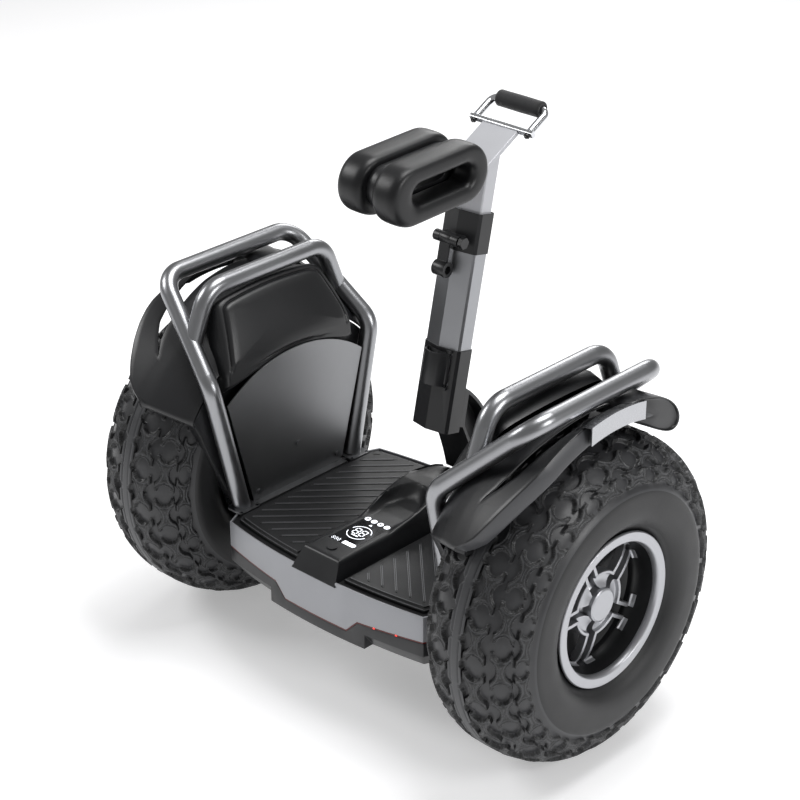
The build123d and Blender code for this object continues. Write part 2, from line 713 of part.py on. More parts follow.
def balance_sensor():
    board = Pos(0, -60, 215) * Box(44, 60, 3)
    chip = Pos(0, -60, 218) * Box(16, 16, 4)
    return board + chip


def centring_spring():
    """Rubber torsion bush pressed round the pivot between boss and front ear."""
    return rod_y(12.0, 170.2, 171.2, 0, PIVOT_Z) - rod_y(8.3, 160, 190, 0, PIVOT_Z)


def panel_screw(y, z):
    """Button-head screw whose head bears on the side panel's inner face."""
    shank = rod_x(2.5, 211.0, 215.8, y, z)
    head = rod_x(4.4, 208.6, 211.1, y, z)
    return shank + head


def main():
    os.makedirs("parts", exist_ok=True)
    save(rear_skirt(), "skirt_rear")
    save(fore_aft(skirt_band()) - rod_y(15.1, 160, 200, 0, 176), "skirt_front")
    strip = light_strip()
    save(strip, "light_rear")
    save(fore_aft(strip), "light_front")
    lower = bumper()
    save(lower, "bumper_rear")
    save(fore_aft(lower), "bumper_front")
    save(tub(), "tub")
    save(deck_plate(), "deck_plate")
    save(mat(), "mat_right")
    save(flipped(mat()), "mat_left")
    save(console(), "console")
    save(display_lens(), "display_lens")
    save(battery(), "battery_pack")
    save(controller(), "controller")
    save(balance_sensor(), "balance_sensor")

    right = {"side_panel": side_panel(), "outer_tube": outer_tube(), "tyre": tyre(),
             "rim": rim(), "hub_cap": hub_cap(), "valve_stem": valve_stem(),
             "fender": fender(), "knee_pad": knee_pad()}
    for name, shape in right.items():
        save(shape, f"{name}_right")
        save(flipped(shape), f"{name}_left")
    pairs = {"inner_rails": inner_rail(), "drive_brackets": drive_bracket(),
             "spindles": spindle(), "hub_motors": hub_motor(), "side_boxes": side_box(),
             "fender_trims": fender_trim()}
    for name, shape in pairs.items():
        save([shape, flipped(shape)], name)
    screws = [panel_screw(y, z) for y, z in PANEL_SCREWS]
    save(screws + [flipped(item) for item in screws], "panel_screws")

    save(neck(), "neck")
    save(pivot_block(), "pivot_block")
    save(pivot_pin(), "pivot_pin")
    save(centring_spring(), "centring_bush")
    save(lower_collar(), "lower_collar")
    save(middle_column(), "middle_column")
    save(upper_collar(), "upper_collar")
    save([clamp_barrel(), latch_pin()], "stem_pins")
    save(clamp_lever(), "clamp_lever")
    save(latch(), "latch")
    save(upper_column(), "upper_column")
    save(upper_arm(), "upper_arm")
    save(handle_bar(), "handle_bar")
    save(handle_tube(), "handle_tube")
    save(grip(), "grip")
    save(handle_screws(), "handle_screws")
    save(pad_frame(), "pad_frame")
    save(charge_socket(), "charge_socket")
    save(charge_flap(), "charge_flap")
    save(flap_hinge(), "flap_hinge")
    save(power_button(), "power_button")


main()
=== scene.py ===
"""Looks of the off-road self-balancing scooter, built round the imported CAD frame.

Lengths in this file are millimetres in the CAD's frame until make() turns them into metres.
"""

from math import cos, inf, pi, radians, sin

import bmesh
import bpy
import numpy as np
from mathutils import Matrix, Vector


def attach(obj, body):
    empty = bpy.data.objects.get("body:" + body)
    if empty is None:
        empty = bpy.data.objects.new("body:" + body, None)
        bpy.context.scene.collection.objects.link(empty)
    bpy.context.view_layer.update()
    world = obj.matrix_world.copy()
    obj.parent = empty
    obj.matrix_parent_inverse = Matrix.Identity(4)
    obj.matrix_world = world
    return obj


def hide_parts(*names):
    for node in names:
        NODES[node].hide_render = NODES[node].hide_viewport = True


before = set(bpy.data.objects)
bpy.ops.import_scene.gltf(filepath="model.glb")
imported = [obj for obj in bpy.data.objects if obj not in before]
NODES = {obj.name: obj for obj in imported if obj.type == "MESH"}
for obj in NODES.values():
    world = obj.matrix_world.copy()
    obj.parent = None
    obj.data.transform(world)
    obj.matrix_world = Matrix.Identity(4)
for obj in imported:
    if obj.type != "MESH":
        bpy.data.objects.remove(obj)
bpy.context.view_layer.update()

MM = 0.001
AXLE_Z = 241.3          # height of the wheels' axis
TRACK = 327.1           # the wheels' mid planes, either side of x = 0
TYRE_R, BULGE_R, TYRE_W = 241.3, 150.0, 89.5    # crown, widest point, half width
FEN_Y, FEN_Z = 5.0, 248.0                       # centre of the fenders' arcs
MID_Y = 5.0             # middle of the platform from front to rear
ARM = radians(28.5)     # rise of the D handle's arm

CAMERA = (1.980406, -2.099355, 1.872704)        # metres
CAMERA_AZ, CAMERA_EL = radians(43.255), radians(26.70)
CAMERA_LENS = 102.07
LAMPS = [   # name, place in metres, size, power
    ("key", (-2.4, -1.6, 2.6), 1.4, 48.0), ("top", (0.3, 0.7, 3.2), 1.6, 70.0),
    ("side", (3.0, 0.6, 1.7), 1.1, 34.0), ("back", (-1.6, 2.8, 2.2), 1.4, 30.0)]
WORLD_LIGHT = 0.30


# ---------------------------------------------------------------- materials
def node(tree, kind, **values):
    """Add a shader node and set its inputs or properties by name."""
    item = tree.nodes.new(kind)
    for key, value in values.items():
        if key in item.inputs:
            item.inputs[key].default_value = value
        else:
            setattr(item, key, value)
    return item


def ramp(tree, source, low, high, out_low, out_high):
    """Map one value range to another."""
    item = node(tree, "ShaderNodeMapRange")
    for key, value in zip(("From Min", "From Max", "To Min", "To Max"),
                          (low, high, out_low, out_high)):
        item.inputs[key].default_value = value
    tree.links.new(source, item.inputs["Value"])
    return item.outputs["Result"]


def material(name, color, rough, metallic=0.0, vary=0.25, cloud=22.0, grain=1400.0,
             bump=0.08, depth=0.0003, rough_vary=0.08, coat=0.0, stretch=(1, 1, 1),
             emission=None, sheen=0.0, specular=0.5, cells=False):
    """Procedural surface: colour clouds, a roughness pattern and a fine bump."""
    mat = bpy.data.materials.new(name)
    mat.use_nodes = True
    tree = mat.node_tree
    tree.nodes.clear()
    out = node(tree, "ShaderNodeOutputMaterial")
    shader = node(tree, "ShaderNodeBsdfPrincipled", Metallic=metallic)
    shader.inputs["Specular IOR Level"].default_value = specular
    shader.inputs["Coat Weight"].default_value = coat
    shader.inputs["Coat Roughness"].default_value = 0.12
    shader.inputs["Sheen Weight"].default_value = sheen
    shader.inputs["Sheen Roughness"].default_value = 0.4
    tree.links.new(shader.outputs[0], out.inputs["Surface"])
    where = node(tree, "ShaderNodeTexCoord")
    mapped = node(tree, "ShaderNodeMapping")
    mapped.inputs["Scale"].default_value = stretch
    tree.links.new(where.outputs["Object"], mapped.inputs["Vector"])
    clouds = node(tree, "ShaderNodeTexNoise", Scale=cloud, Detail=4.0, Roughness=0.6)
    tree.links.new(where.outputs["Object"], clouds.inputs["Vector"])
    if cells:
        fine = node(tree, "ShaderNodeTexVoronoi", Scale=grain)
        fine_out = fine.outputs["Distance"]
    else:
        fine = node(tree, "ShaderNodeTexNoise", Scale=grain, Detail=3.0, Roughness=0.65)
        fine_out = fine.outputs["Fac"]
    tree.links.new(mapped.outputs["Vector"], fine.inputs["Vector"])
    both = node(tree, "ShaderNodeMix", data_type="FLOAT")
    both.inputs[0].default_value = 0.35
    tree.links.new(clouds.outputs["Fac"], both.inputs[2])
    tree.links.new(fine_out, both.inputs[3])
    shade = ramp(tree, both.outputs[0], 0.3, 0.7, 1.0 - vary, 1.0 + vary)
    tint = node(tree, "ShaderNodeVectorMath", operation="SCALE")
    tint.inputs[0].default_value = color
    tree.links.new(shade, tint.inputs["Scale"])
    tree.links.new(tint.outputs[0], shader.inputs["Base Color"])
    tree.links.new(ramp(tree, both.outputs[0], 0.3, 0.7, max(0.02, rough - rough_vary),
                        min(1.0, rough + rough_vary)), shader.inputs["Roughness"])
    if bump:
        relief = node(tree, "ShaderNodeBump", Strength=bump, Distance=depth)
        tree.links.new(fine_out, relief.inputs["Height"])
        tree.links.new(relief.outputs[0], shader.inputs["Normal"])
    if emission:
        shader.inputs["Emission Color"].default_value = (*emission[0], 1.0)
        shader.inputs["Emission Strength"].default_value = emission[1]
    return mat


M = {
    "tyre": material("tyre_rubber", (0.0098, 0.0100, 0.0107), 0.50, vary=0.22, cloud=9.0,
                     grain=900.0, bump=0.22, depth=0.0004, rough_vary=0.10),
    # Lighter copy of the tyre rubber for the void floors: painted light falling on them.
    "tyre_void_painted_light": material("tyre_rubber_void_painted_light", (0.029, 0.0295, 0.0318), 0.40, vary=0.16,
                          cloud=12.0, grain=1100.0, bump=0.12, depth=0.0003),
    # Lighter still for the engraved lines and the tops of the block walls: painted edge
    # highlight.
    "tyre_edge_highlight": material("tyre_rubber_painted_highlight", (0.038, 0.039, 0.042), 0.42, vary=0.2,
                          cloud=30.0, grain=1100.0, bump=0.1, depth=0.0003),
    "rubber": material("soft_rubber", (0.010, 0.010, 0.011), 0.55, bump=0.2),
    "shell": material("moulded_plastic", (0.0105, 0.0108, 0.012), 0.34, vary=0.12, cloud=6.0,
                      grain=1700.0, bump=0.16, depth=0.00025, rough_vary=0.06),
    "console": material("console_plastic", (0.009, 0.0094, 0.0105), 0.36, vary=0.12,
                        grain=1500.0, bump=0.14, rough_vary=0.05),
    # Lighter copy of the fender's moulded plastic for its outer lip: painted highlight where the
    # side light catches the lip.
    "lip": material("moulded_lip_painted_highlight", (0.050, 0.051, 0.055), 0.38, vary=0.10, cloud=6.0,
                    grain=1700.0, bump=0.10, depth=0.0002, rough_vary=0.05),
    "gloss": material("moulded_gloss", (0.0075, 0.0078, 0.0088), 0.36, vary=0.12, cloud=6.0,
                      grain=1500.0, bump=0.05, depth=0.0002, rough_vary=0.05),
    "silver": material("rim_silver", (0.43, 0.435, 0.455), 0.36, metallic=0.8, vary=0.05,
                       grain=900.0, bump=0.03, rough_vary=0.05),
    "barrel": material("rim_dark", (0.008, 0.0083, 0.009), 0.34, specular=0.35, vary=0.15,
                       grain=900.0, bump=0.03, rough_vary=0.06),
    "skirt": material("skirt_paint", (0.315, 0.32, 0.338), 0.42, metallic=0.35, vary=0.05,
                      cloud=8.0, grain=2400.0, bump=0.05, rough_vary=0.05),
    "panel": material("panel_metal", (0.25, 0.253, 0.26), 0.40, metallic=1.0, vary=0.10,
                      cloud=5.0, grain=2200.0, bump=0.12, depth=0.00012, rough_vary=0.05),
    "tube": material("tube_metal", (0.31, 0.314, 0.325), 0.32, metallic=1.0, vary=0.03,
                     cloud=14.0, grain=2600.0, bump=0.03, depth=0.00005, rough_vary=0.02,
                     stretch=(1, 0.12, 1)),
    "trim": material("trim_metal", (0.42, 0.425, 0.44), 0.26, metallic=1.0, vary=0.06,
                     grain=900.0, bump=0.05, depth=0.0001, stretch=(6, 0.3, 1)),
    "stem": material("stem_anodised", (0.33, 0.335, 0.35), 0.34, metallic=0.9, vary=0.06,
                     cloud=10.0, grain=1600.0, bump=0.05, depth=0.0001,
                     stretch=(4, 4, 0.15)),
    "light": material("stem_light_paint", (0.50, 0.505, 0.53), 0.36, metallic=0.25, vary=0.04,
                      cloud=10.0, grain=1800.0, bump=0.04, depth=0.0001),
    "stem_black": material("stem_black_paint", (0.0115, 0.0118, 0.013), 0.36, vary=0.12,
                           grain=1500.0, bump=0.10, depth=0.0002),
    "chrome": material("handle_chrome", (0.72, 0.73, 0.75), 0.10, metallic=1.0, vary=0.04,
                       grain=500.0, bump=0.02, depth=0.0001, rough_vary=0.04),
    "foam": material("grip_foam", (0.012, 0.012, 0.013), 0.85, vary=0.3, grain=1100.0,
                     bump=0.7, depth=0.0006, sheen=0.3, cells=True),
    "pad": material("pad_cover", (0.0060, 0.0062, 0.0070), 0.38, vary=0.14, cloud=11.0,
                    grain=800.0, bump=0.22, depth=0.0004, rough_vary=0.07, sheen=0.02,
                    specular=0.4, cells=True),
    "mat": material("mat_rubber", (0.009, 0.0093, 0.0102), 0.44, vary=0.16, grain=1300.0,
                    bump=0.25, depth=0.0003),
    "lens": material("display_glass", (0.004, 0.004, 0.005), 0.08, vary=0.2, grain=300.0,
                     bump=0.0, coat=0.5),
    "glow": material("display_glow", (0.8, 0.82, 0.85), 0.4, vary=0.03, bump=0.0,
                     emission=((0.9, 0.93, 1.0), 1.6)),
    "led": material("led_red", (0.075, 0.004, 0.003), 0.3, vary=0.2, bump=0.0,
                    emission=((1.0, 0.03, 0.015), 0.012)),
    "led_hot": material("led_hot", (0.9, 0.1, 0.06), 0.3, vary=0.1, bump=0.0,
                        emission=((1.0, 0.02, 0.012), 0.9)),
    "dark": material("dark_metal", (0.012, 0.012, 0.013), 0.42, metallic=0.4, vary=0.2,
                     bump=0.1),
    "steel": material("fastener_steel", (0.50, 0.50, 0.52), 0.30, metallic=1.0, vary=0.08,
                      bump=0.05),
    "blue": material("battery_wrap", (0.03, 0.08, 0.22), 0.4, vary=0.1),
    "board": material("board_green", (0.02, 0.12, 0.05), 0.45, vary=0.2),
    "floor": material("floor_paint", (0.86, 0.86, 0.87), 0.75, vary=0.01, cloud=3.0,
                      grain=60.0, bump=0.0, rough_vary=0.02,
                      emission=((1.0, 1.0, 1.0), 0.33)),
    # Lighter grey for thin strips on the mat's ribs and border: painted highlight where light
    # catches the rib edges.
    "rib_painted_highlight": material("mat_rib_painted_highlight", (0.125, 0.127, 0.134), 0.40, vary=0.12, bump=0.1),
}

# The CAD nodes that stay visible, by the material they take.
CAD_LOOK = {
    "shell": ["bumper_front", "bumper_rear", "charge_socket"],
    "console": ["power_button"],
    "silver": ["hub_cap_left", "hub_cap_right"],
    "rubber": ["valve_stem_left", "valve_stem_right", "centring_bush", "charge_flap"],
    "skirt": ["skirt_front", "skirt_rear"],
    "panel": ["side_panel_left", "side_panel_right", "panel_screws"],
    "tube": ["outer_tube_left", "outer_tube_right", "inner_rails"],
    "trim": ["fender_trims"],
    "stem": ["middle_column"],
    "light": ["upper_column", "upper_arm"],
    "stem_black": ["lower_collar", "upper_collar", "neck", "clamp_lever", "latch",
                   "pivot_block", "pad_frame", "stem_pins", "handle_screws"],
    "chrome": ["handle_tube", "handle_bar"],
    "mat": ["mat_left", "mat_right"],
    "lens": ["display_lens"],
    "led": ["light_front", "light_rear"],
    "dark": ["drive_brackets", "hub_motors", "tub", "deck_plate", "flap_hinge"],
    "steel": ["spindles", "pivot_pin"],
    "blue": ["battery_pack"],
    "board": ["controller", "balance_sensor"],
}
# Width of the rounded edge, for the nodes that need one.
SOFT_EDGE = {"bumper_front": 2.0, "bumper_rear": 2.0, "skirt_front": 0.8,
             "skirt_rear": 0.8, "neck": 1.6, "lower_collar": 1.1, "upper_collar": 1.1,
             "middle_column": 0.8, "upper_column": 0.8, "upper_arm": 1.2, "latch": 0.8,
             "clamp_lever": 0.9, "pad_frame": 1.2, "mat_left": 0.5, "mat_right": 0.5,
             "hub_cap_left": 0.8, "hub_cap_right": 0.8, "side_panel_left": 0.5,
             "side_panel_right": 0.5, "pivot_block": 0.8, "deck_plate": 0.8,
             "display_lens": 0.3, "power_button": 0.5}


# ---------------------------------------------------------------- modifiers
def add_weld(obj, distance):
    """Merge points that lie within a distance in millimetres."""
    obj.modifiers.new("weld", "WELD").merge_threshold = distance * MM


def add_bevel(obj, width, segments, angle, harden=True):
    """Round the edges that are sharper than an angle in degrees."""
    edge = obj.modifiers.new("edge", "BEVEL")
    edge.width = width * MM
    edge.segments = segments
    edge.limit_method = "ANGLE"
    edge.angle_limit = radians(angle)
    edge.harden_normals = harden


def add_subdivision(obj, levels):
    """Catmull-Clark subdivision, the same in view and render."""
    sub = obj.modifiers.new("sub", "SUBSURF")
    sub.levels = sub.render_levels = levels


def dress_cad():
    """Give every carried-over CAD node its material, and round the sharp edges of the nodes
    listed in SOFT_EDGE.
    """
    for look, names in CAD_LOOK.items():
        for name in names:
            obj = NODES[name]
            for part in obj.material_slots:
                part.material = M[look]
            if name in SOFT_EDGE:
                add_weld(obj, 0.01)
                add_bevel(obj, SOFT_EDGE[name], 3, 28)


# ---------------------------------------------------------------- mesh helpers
def make(name, verts, faces, look, body, replaces=(), sharp=35.0, bevel=0.0,
         subdivide=0):
    """Turn millimetre vertices into a piece that rides on a CAD body."""
    mesh = bpy.data.meshes.new(name)
    mesh.from_pydata((np.asarray(verts, float) * MM).tolist(), [], faces)
    mesh.validate()
    obj = bpy.data.objects.new(name, mesh)
    bpy.context.scene.collection.objects.link(obj)
    build = bmesh.new()
    build.from_mesh(mesh)
    bmesh.ops.recalc_face_normals(build, faces=build.faces)
    build.to_mesh(mesh)
    build.free()
    mesh.materials.append(M[look])
    mesh.shade_smooth()
    mesh.set_sharp_from_angle(angle=radians(sharp))
    if bevel:
        add_bevel(obj, bevel, 2, 30)
    if subdivide:
        add_subdivision(obj, subdivide)
    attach(obj, body)
    if replaces:
        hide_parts(*replaces)
    return obj


def grid_faces(rows, cols, wrap_rows=False, wrap_cols=False, skip=None):
    """Quads between rows of points; either way round may close on itself."""
    faces = []
    for i in range(rows if wrap_rows else rows - 1):
        for j in range(cols if wrap_cols else cols - 1):
            if skip and skip(i, j):
                continue
            a, b = i % rows, (i + 1) % rows
            c, d = j % cols, (j + 1) % cols
            faces.append((a * cols + c, a * cols + d, b * cols + d, b * cols + c))
    return faces


def flat(rows):
    """One list of points from rows of them."""
    return [p for row in rows for p in row]


def turned(profile, centre_x, side, y=0.0, z=AXLE_Z, steps=96):
    """Revolve a closed profile of (x, radius) about an axis along X."""
    verts = []
    for k in range(steps):
        t = 2 * pi * k / steps
        verts += [(side * (centre_x + x), y + r * cos(t), z + r * sin(t)) for x, r in profile]
    return verts, grid_faces(steps, len(profile), True, True)


def extrude(first, second):
    """Solid between two equal closed outlines of points."""
    n = len(first)
    faces = [tuple(range(n - 1, -1, -1)), tuple(range(n, 2 * n))]
    faces += [(k, (k + 1) % n, n + (k + 1) % n, n + k) for k in range(n)]
    return first + second, faces


def prism(points, x0, x1):
    """A flat outline of (y, z) made solid between two x values."""
    return extrude([(x0, y, z) for y, z in points], [(x1, y, z) for y, z in points])


def slab(points, z0, z1):
    """A flat outline of (x, y) made solid between two heights."""
    return extrude([(x, y, z0) for x, y in points], [(x, y, z1) for x, y in points])


def bar_slab(x0, x1, y0, y1, z0, z1):
    """A rectangle made solid between two heights."""
    return slab([(x0, y0), (x1, y0), (x1, y1), (x0, y1)], z0, z1)


def join(parts):
    """Several (verts, faces) as one."""
    verts, faces = [], []
    for v, f in parts:
        base = len(verts)
        verts += list(v)
        faces += [tuple(base + i for i in face) for face in f]
    return verts, faces


def step(x, low, high):
    """Smooth rise from 0 at low to 1 at high."""
    t = np.clip((x - low) / (high - low), 0.0, 1.0)
    return t * t * (3 - 2 * t)


def end_bow(x):
    """How far the platform's curved ends draw in at a distance from its middle."""
    return 19 * (x / 194) ** 2


# ---------------------------------------------------------------- tyres
PITCHES = 20            # tread pattern repeats round the tyre
PER_PITCH = 60          # points along each repeat
TREAD_DEPTH = 6.6
BLOCK_TOP = -0.2        # tops of the blocks, below the outer envelope
BAND_TOP = -0.8         # top of the centre band
VOID_BELOW = -1.9       # points lower than this count as void
EDGE_HIGHLIGHT_BAND = (-1.75, -0.7)   # mean heights of the faces given a painted edge highlight: the engraved lines and the tops of the block walls
# Rows of blocks: distance from the crown, half pitch offset, and the bone() values.
BLOCK_ROWS = [
    (31, False, (16.5, 29.5, 6.5, 19.5, 18.5, 12.0)),
    (69.5, True, (16.0, 28.0, 6.5, 19.0, 17.5, 11.5)),
    (99.5, False, (11.5, 26.0, 4.0, 17.0, 17.5, 8.0, (7.5, 26.0))),
]
# Low domes in the voids: distance from the crown, half pitch offset.
DOMES = [(63.0, False), (33.0, True), (101.0, True)]


def crown_radius(x):
    """Outer radius over the crown and shoulder."""
    return BULGE_R + (TYRE_R - BULGE_R) * (1 - (np.abs(x) / TYRE_W) ** 2.5) ** 0.4


def tyre_profile():
    """Half section from the crown to the bead, with its arc length."""
    x = TYRE_W * np.sin(np.linspace(0, pi / 2, 500))
    r = crown_radius(x)
    low = np.array([(88.6, 141.0), (85.6, 133.0), (80.5, 126.5), (74.5, 121.5), (68.5, 117.5),
                    (64.0, 113.0), (61.7, 108.0), (61.6, 104.1)])
    x, r = np.r_[x, low[:, 0]], np.r_[r, low[:, 1]]
    length = np.r_[0, np.cumsum(np.hypot(np.diff(x), np.diff(r)))]
    return x, r, length


def bone(s, t, half_s, half_t, waist, side_r, notch, notch_r, right=None):
    """Distance to a four-lobed tread block; negative inside."""
    d = np.maximum(np.abs(s) - half_s, np.abs(t) - half_t)
    left = side_r - np.hypot(s + waist + side_r, t)
    if right is None:
        other = side_r - np.hypot(s - waist - side_r, t)
    else:
        other = right[1] - np.hypot(s - right[0] - right[1], t)
    ends = notch_r - np.hypot(s, np.abs(t) - notch - notch_r)
    return np.maximum.reduce([d, left, other, ends])


def tread_height(s, turn):
    """Height over the outer envelope, for arc length s and turn counted in pitches."""
    a = np.abs(s)
    depth = TREAD_DEPTH - 1.8 * step(a, 84, 106) - 4.8 * step(a, 110, 126)
    u = turn - np.round(turn)
    v = (turn + 0.5) - np.round(turn + 0.5)
    pitch = 2 * pi / PITCHES * np.where(a < 50, 236.0, np.where(a < 84, 222.0, 200.0))
    along = {False: u * pitch, True: v * pitch}
    h = -depth
    for centre, offset in DOMES:
        far = np.hypot((a - centre) / 1.15, along[offset])
        h = h + 0.6 * (1 - step(far, 4.0, 17.5)) * (depth / TREAD_DEPTH)
    for centre, offset, shape in BLOCK_ROWS:
        d = bone(a - centre, along[offset], *shape)
        inside = 1 - step(d, -0.6, 0.5)
        outline = np.exp(-((d + 3.6) / 0.8) ** 2)
        middle = np.exp(-((a - centre) / 0.9) ** 2)
        middle = middle * (1 - step(np.abs(along[offset]), 8.0, 10.0))
        top = BLOCK_TOP - 1.3 * np.maximum(outline, middle)
        h = h * (1 - inside) + top * inside
    band = 9.5 + 2.8 * step(np.abs(u), 0.05, 0.10) * (1 - step(np.abs(u), 0.41, 0.46))
    inside = 1 - step(a, band - 0.6, band + 0.8)
    groove = np.exp(-((a - 6.4) / 0.75) ** 2) * step(np.abs(u), 0.05, 0.09)
    cut = np.exp(-((np.abs(u) - 0.02) / 0.014) ** 2) * step(a, 5.0, 6.5)
    h = h * (1 - inside) + (BAND_TOP - 1.5 * np.maximum(groove, cut)) * inside
    return h * (1 - step(a, 124, 132))


def tyre(side, name, start):
    """Tread and walls as one grid: around the tyre by across its section."""
    x, r, length = tyre_profile()
    tread = np.arange(-117, 117.1, 1.25)
    end = length[-1]
    wall = np.array([119, 122, 126, 131, 137, 143, 149, 155, 161, 166, 170, 174, 178, 182,
                     end])
    wall = wall[wall <= end]
    s = np.r_[-wall[::-1], tread, wall]
    px = np.interp(np.abs(s), length, x) * np.sign(s)
    pr = np.interp(np.abs(s), length, r)
    dx, dr = np.gradient(px, s), np.gradient(pr, s)
    size = np.hypot(dx, dr)
    nx, nr = -dr / size, dx / size
    count = PITCHES * PER_PITCH
    turn = np.arange(count) / PER_PITCH
    S, T = np.meshgrid(s, turn)
    h = tread_height(S, T)
    X = px + nx * h
    R = pr + nr * h
    angle = radians(start) + T * 2 * pi / PITCHES
    verts = np.stack([side * (TRACK + X), -R * np.cos(angle), AXLE_Z + R * np.sin(angle)], -1)
    faces = grid_faces(count, len(s), True, True)
    obj = make(f"tyre_tread_{name}", verts.reshape(-1, 3), faces, "tyre", f"wheel_{name}",
               (f"tyre_{name}",), sharp=75)
    # The void floors take a lighter copy of the rubber: painted light on them.
    obj.data.materials.append(M["tyre_void_painted_light"])
    obj.data.materials.append(M["tyre_edge_highlight"])
    corners = [h, np.roll(h, -1, 0), np.roll(h, -1, 1), np.roll(np.roll(h, -1, 0), -1, 1)]
    void = np.maximum.reduce(corners) < VOID_BELOW
    mean = (corners[0] + corners[1] + corners[2] + corners[3]) / 4
    # Faces in this height band, the engraved lines and block wall tops, take a lighter tone
    # still: a painted edge highlight.
    line = (mean > EDGE_HIGHLIGHT_BAND[0]) & (mean < EDGE_HIGHLIGHT_BAND[1]) & (np.abs(S) < 122)
    painted_light_tone = np.where(line, 2, void).astype(np.int32)
    obj.data.polygons.foreach_set("material_index", painted_light_tone.reshape(-1))


# ---------------------------------------------------------------- rims
SLOTS = 5
SLOT_STEP = 360 // SLOTS
SLOT_ANGLE = 38.0       # the first slot's direction, degrees
SLOT_HALF = 7.0
LEG = 5.2               # width of a spoke's leg


def ray_point(along, across, angle):
    """Point beside a ray from the hub, as (y, z) from the axle."""
    t = radians(angle)
    return along * cos(t) - across * sin(t), along * sin(t) + across * cos(t)


def thick_patch(front, back):
    """Closed body between two equal grids of points."""
    rows, cols = len(front), len(front[0])
    n = rows * cols
    faces = grid_faces(rows, cols)
    faces += [tuple(n + i for i in reversed(face)) for face in faces]
    border = [(0, j) for j in range(cols)] + [(i, cols - 1) for i in range(1, rows)]
    border += [(rows - 1, j) for j in range(cols - 2, -1, -1)]
    border += [(i, 0) for i in range(rows - 2, 0, -1)]
    loop = [i * cols + j for i, j in border]
    for k, here in enumerate(loop):
        there = loop[(k + 1) % len(loop)]
        faces.append((here, n + here, n + there, there))
    return flat(front) + flat(back), faces


def on_wheel(side, x, radius, angles):
    """Points on a circle round the axle, at an x from the wheel's mid plane."""
    return [(side * (TRACK + x), radius * cos(t), AXLE_Z + radius * sin(t)) for t in angles]


def hub_sector(k, side):
    """Dished face between two slots, with a raised outer rim."""
    a = radians(SLOT_ANGLE + SLOT_STEP * k)
    b = radians(SLOT_ANGLE + SLOT_STEP * (k + 1))
    radii = [21.0, 24.0, 28.0, 32.0, 36.0, 39.5, 41.8, 42.8, 43.6, 47.4, 48.2]
    faces_x = [51.0, 50.2, 47.0, 44.8, 43.4, 43.0, 43.6, 45.0, 49.0, 49.4, 48.2]
    front, back = [], []
    for r, x in zip(radii, faces_x):
        clear = SLOT_HALF + (2.0 if r < 27 else 0.0)
        first = a + np.arcsin(clear / r)
        last = b - np.arcsin(clear / r)
        angles = np.linspace(first, last, 15)
        front.append(on_wheel(side, x, r, angles))
        back.append(on_wheel(side, 33, r, angles))
    return thick_patch(front, back)


def spoke_leg(at, sign, side):
    """Slim leg beside a slot, falling away to the dish, with a foot along the barrel."""
    stations = [(42.5, 49.0, 0.0), (56.0, 48.6, 0.0), (71.0, 46.8, 0.0), (83.0, 43.5, 0.3),
                (90.5, 39.0, 0.8)]
    front, back = [], []
    for along, x, widen in stations:
        w0, w1 = sign * SLOT_HALF, sign * (SLOT_HALF + LEG + widen)
        points = [ray_point(along, w0 + (w1 - w0) * n / 3, at) for n in range(4)]
        front.append([(side * (TRACK + x), y, AXLE_Z + z) for y, z in points])
        back.append([(side * (TRACK + x - 12), y, AXLE_Z + z) for y, z in points])
    leg = thick_patch(front, back)
    start = np.arcsin((SLOT_HALF + 1.5) / 90.0)
    front, back = [], []
    for r, x in ((88.2, 39.5), (90.6, 41.5), (92.0, 47.0)):
        angles = radians(at) + sign * np.linspace(start, start + 0.20, 8)
        front.append(on_wheel(side, x, r, angles))
        back.append(on_wheel(side, x - 7, r + 2, angles))
    return leg, thick_patch(front, back)


def rim(side, name):
    """Bright lip, dark barrel, slotted spokes and hub."""
    body = f"wheel_{name}"
    lip = [(61.7, 103.8), (70.5, 112.6), (71.6, 113.9), (73.0, 114.2), (74.6, 113.9),
           (75.7, 112.6), (75.7, 101.2), (75.2, 99.9), (74.0, 98.9), (71.5, 97.8),
           (66.0, 96.6), (64.0, 97.6), (61.0, 100.5)]
    v, f = turned(lip, TRACK, side, steps=160)
    make(f"rim_lip_{name}", v, f, "silver", body, (f"rim_{name}",), sharp=40)
    well = [(66.0, 96.4), (60.0, 95.6), (54.0, 94.8), (48.0, 93.8), (43.0, 92.4), (39.5, 90.6),
            (37.0, 89.0), (35.4, 88.6), (30.0, 87.4), (26.0, 80.0), (24.0, 66.0), (23.0, 46.0),
            (23.0, 30.0), (12.0, 30.0), (10.0, 88.0), (-30.0, 88.5),
            (-60.0, 95.0), (-72.0, 97.6), (-75.2, 98.8), (-75.7, 100.0), (-75.7, 113.4),
            (-74.0, 114.2), (-71.6, 113.4), (-61.7, 103.8), (-45.8, 103.8), (-36.0, 94.0),
            (36.0, 94.0), (45.8, 103.8), (61.0, 103.2), (62.5, 98.6)]
    v, f = turned(well, TRACK, side, steps=128)
    make(f"rim_barrel_{name}", v, f, "barrel", body, sharp=35)
    parts = []
    for k in range(SLOTS):
        parts.append(hub_sector(k, side))
        parts += spoke_leg(SLOT_ANGLE + SLOT_STEP * k, 1, side)
        parts += spoke_leg(SLOT_ANGLE + SLOT_STEP * (k + 1), -1, side)
    v, f = join(parts)
    make(f"rim_spokes_{name}", v, f, "silver", body, sharp=32, bevel=0.5)
    hub = [(16.0, 12.6), (16.0, 30.0), (34.0, 30.0), (40.0, 24.0), (50.4, 23.4), (51.4, 22.6),
           (51.4, 20.4), (42.0, 20.2), (42.0, 12.6)]
    v, f = turned(hub, TRACK, side)
    make(f"rim_hub_{name}", v, f, "silver", body, sharp=35)


